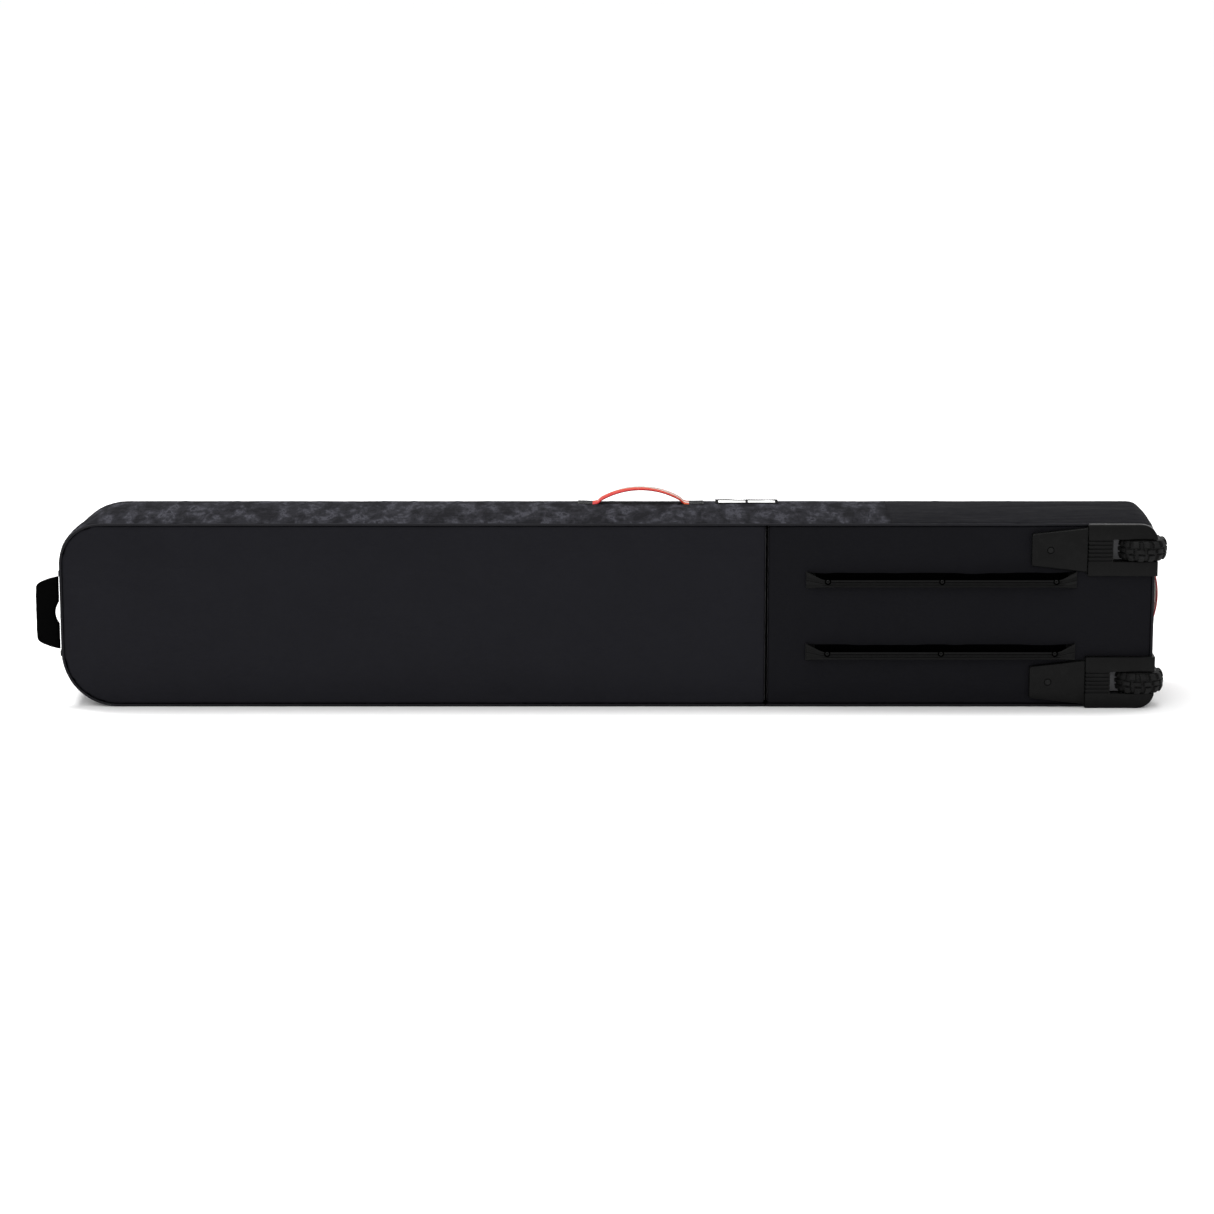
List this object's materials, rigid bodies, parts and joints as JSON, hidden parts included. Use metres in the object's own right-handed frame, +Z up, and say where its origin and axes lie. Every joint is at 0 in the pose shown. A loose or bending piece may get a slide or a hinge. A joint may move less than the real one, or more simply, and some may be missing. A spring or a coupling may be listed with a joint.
{
  "type": "wheeled snowboard bag",
  "caption": "Long padded snowboard bag with a rounded tail, two housed wheels, skid rails, haul handles and a zipped lid.",
  "frame": {"origin": "middle of the long narrow side that the bag rests on", "axes": "+X from the tail to the wheels, +Y from the base to the lid, +Z up across the bag's width"},
  "size_m": [1.819, 0.2232, 0.327],
  "materials": {
    "base_cloth": "woven nylon",
    "base_cloth_dark": "coated polyester",
    "printed_cloth": "tonal print on polyester",
    "plain_cloth": "polyester with a soft sheen",
    "foam": "closed-cell foam",
    "lining": "ripstop lining",
    "board": "extruded sheet",
    "piping": "covered cord",
    "zipper_tape": "woven tape",
    "zipper_teeth": "nylon coil",
    "housing_plastic": "textured moulding",
    "rail_plastic": "textured moulding",
    "fastener_steel": "zinc plated",
    "black_screws": "black oxide",
    "wheel_tyre": "moulded tread",
    "hub_plastic": "moulded",
    "bearing_steel": "ground",
    "handle_webbing": "woven stripes",
    "tail_handle_cloth": "padded wrap",
    "label": "woven patch with plain fields",
    "slider_metal": "black enamel",
    "pull_rubber": "moulded pull",
    "strap_webbing": "webbing",
    "buckle_plastic": "moulded"
  },
  "bodies": {
    "bag": {"base_fabric_tail": "base_cloth", "base_fabric_wheel_end": "base_cloth_dark", "base_board": "board", "base_foam": "foam", "base_lining": "lining", "upper_wall_fabric_printed": "printed_cloth", "upper_wall_fabric_plain": "plain_cloth", "lower_wall_fabric_printed": "printed_cloth", "lower_wall_fabric_plain": "plain_cloth", "tail_wall_fabric": "printed_cloth", "end_wall_fabric": "plain_cloth", "upper_wall_foam": "foam", "lower_wall_foam": "foam", "tail_wall_foam": "foam", "end_wall_foam": "foam", "side_lining": "lining", "piping_base": "piping", "piping_front": "piping", "front_border": "plain_cloth", "zipper_tape_body": "zipper_tape", "zipper_teeth_body": "zipper_teeth", "upper_wheel_housing": "housing_plastic", "lower_wheel_housing": "housing_plastic", "wheel_axle_bolts": "fastener_steel", "wheel_axle_nuts": "fastener_steel", "upper_skid_rail": "rail_plastic", "lower_skid_rail": "rail_plastic", "skid_rail_screws": "black_screws", "housing_screws": "black_screws", "backing_nuts": "fastener_steel", "side_handle_sewn_ends": "handle_webbing", "end_handle_sewn_ends": "handle_webbing", "tail_handle_sewn_ends": "tail_handle_cloth", "side_label": "label", "inner_straps": "strap_webbing", "buckle_sockets": "buckle_plastic"},
    "lid": {"lid_fabric": "plain_cloth", "lid_foam_pad": "foam", "lid_lining": "lining", "zipper_tape_lid": "zipper_tape", "zipper_teeth_lid": "zipper_teeth"},
    "tail_slider": {"tail_zipper_slider": "slider_metal"},
    "tail_pull": {"tail_zipper_pull": "pull_rubber"},
    "wheel_end_slider": {"wheel_end_zipper_slider": "slider_metal"},
    "wheel_end_pull": {"wheel_end_zipper_pull": "pull_rubber"},
    "upper_wheel": {"upper_tyre": "wheel_tyre", "upper_wheel_hub": "hub_plastic", "upper_wheel_bearings": "bearing_steel", "upper_bearing_spacer": "bearing_steel"},
    "lower_wheel": {"lower_tyre": "wheel_tyre", "lower_wheel_hub": "hub_plastic", "lower_wheel_bearings": "bearing_steel", "lower_bearing_spacer": "bearing_steel"},
    "side_grip": {"side_handle_grip": "handle_webbing"},
    "end_grip": {"end_handle_grip": "handle_webbing"},
    "tail_grip": {"tail_handle_grip": "tail_handle_cloth"},
    "tail_plug": {"tail_buckle_plug": "buckle_plastic"},
    "wheel_end_plug": {"wheel_end_buckle_plug": "buckle_plastic"}
  },
  "joints": [
    {"name": "lid_open", "type": "hinge", "parent": "bag", "child": "lid", "pos_m": [0, 0.0953, 0.0162], "axis": [-1, 0, 0], "range_deg": [0, 90]},
    {"name": "tail_slider_travel", "type": "slide", "parent": "lid", "child": "tail_slider", "axis": [1, 0, 0], "range_m": [-1, 0]},
    {"name": "tail_pull_swing", "type": "hinge", "parent": "tail_slider", "child": "tail_pull", "pos_m": [0.25, 0.101, 0.2775], "axis": [1, 0, 0], "range_deg": [0, 150]},
    {"name": "wheel_end_slider_travel", "type": "slide", "parent": "lid", "child": "wheel_end_slider", "axis": [1, 0, 0], "range_m": [0, 0.55]},
    {"name": "wheel_end_pull_swing", "type": "hinge", "parent": "wheel_end_slider", "child": "wheel_end_pull", "pos_m": [0.272, 0.101, 0.2775], "axis": [1, 0, 0], "range_deg": [0, 150]},
    {"name": "upper_wheel_spin", "type": "hinge", "parent": "bag", "child": "upper_wheel", "pos_m": [0.855, -0.08, 0.258], "axis": [0, 0, 1], "continuous": true},
    {"name": "lower_wheel_spin", "type": "hinge", "parent": "bag", "child": "lower_wheel", "pos_m": [0.855, -0.08, 0.042], "axis": [0, 0, 1], "continuous": true},
    {"name": "side_handle_swing", "type": "hinge", "parent": "bag", "child": "side_grip", "pos_m": [0.055, 0.07, 0.3095], "axis": [1, 0, 0], "range_deg": [-30, 30]},
    {"name": "end_handle_swing", "type": "hinge", "parent": "bag", "child": "end_grip", "pos_m": [0.8845, 0.073, 0.15], "axis": [0, 0, 1], "range_deg": [-30, 30]},
    {"name": "tail_handle_swing", "type": "hinge", "parent": "bag", "child": "tail_grip", "pos_m": [-0.8784, -0.072, 0.15], "axis": [0, 0, 1], "range_deg": [-60, 60]},
    {"name": "tail_buckle_release", "type": "slide", "parent": "bag", "child": "tail_plug", "axis": [0, 0, 1], "range_m": [0, 0.022]},
    {"name": "wheel_end_buckle_release", "type": "slide", "parent": "bag", "child": "wheel_end_plug", "axis": [0, 0, 1], "range_m": [0, 0.022]}
  ]
}
